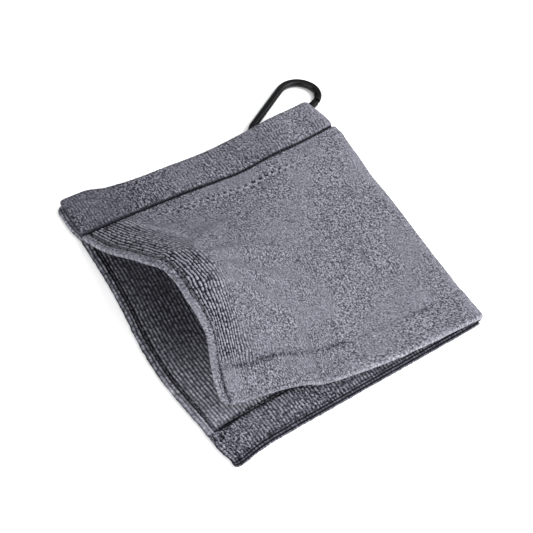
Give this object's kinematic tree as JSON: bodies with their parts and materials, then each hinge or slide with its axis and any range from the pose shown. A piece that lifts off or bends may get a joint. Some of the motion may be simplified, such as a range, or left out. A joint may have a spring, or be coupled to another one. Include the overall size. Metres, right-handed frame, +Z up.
{
  "type": "golf ball towel",
  "caption": "Square pile-cloth pocket, open on two sides, for wiping a golf ball, with a snap clip on a ribbon hang loop.",
  "frame": {"origin": "middle of the square pocket, on the flat underside that rests on a table", "axes": "+X along the sewn top edge towards the closed side fold, +Y from the open bottom edge towards the sewn top edge, +Z up through the layers"},
  "size_m": [0.1538, 0.1564, 0.0469],
  "materials": {
    "pile_cloth": "grey ribbed microfibre pile, matt, fuzzy",
    "thread": "dark grey polyester sewing thread",
    "ribbon": "black woven ribbon",
    "black_aluminium": "black anodised, satin",
    "steel": "plain bright"
  },
  "bodies": {
    "pouch": {"back_panel": "pile_cloth", "back_side_hem": "pile_cloth", "back_bottom_hem": "pile_cloth", "top_band_back": "pile_cloth", "side_fold": "pile_cloth", "front_panel": "pile_cloth", "top_band_front": "pile_cloth", "top_seam_thread": "thread", "top_seam_under_thread": "thread", "back_side_thread": "thread", "back_hem_thread": "thread", "loop_base": "ribbon", "loop_bar_tack": "thread"},
    "flap": {"front_flap": "pile_cloth", "front_side_hem": "pile_cloth", "front_bottom_hem": "pile_cloth", "front_hem_thread": "thread", "front_side_thread": "thread"},
    "loop": {"hang_loop": "ribbon"},
    "clip": {"clip_body": "black_aluminium", "gate_rivet": "steel"},
    "gate": {"clip_gate": "black_aluminium", "spring_plunger": "steel", "gate_spring": "steel"}
  },
  "joints": [
    {"name": "flap_lift", "type": "hinge", "parent": "pouch", "child": "flap", "pos_m": [-0.07, 0.0523, 0.019], "axis": [-0.7465, 0.6654, 0], "range_deg": [0, 30]},
    {"name": "loop_bend", "type": "hinge", "parent": "pouch", "child": "loop", "pos_m": [0.0397, 0.049, 0.0042], "axis": [-1, 0, 0], "range_deg": [0, 75]},
    {"name": "clip_swivel", "type": "hinge", "parent": "loop", "child": "clip", "pos_m": [0.03961, 0.06469, 0.0024], "axis": [0, 0, 1], "range_deg": [-15, 62]},
    {"name": "gate_hinge", "type": "hinge", "parent": "clip", "child": "gate", "pos_m": [0.04605, 0.05978, 0.0024], "axis": [0, 0, 1], "range_deg": [0, 22], "stiffness_Nm_per_rad": 0.02, "springref_deg": -17.19}
  ]
}
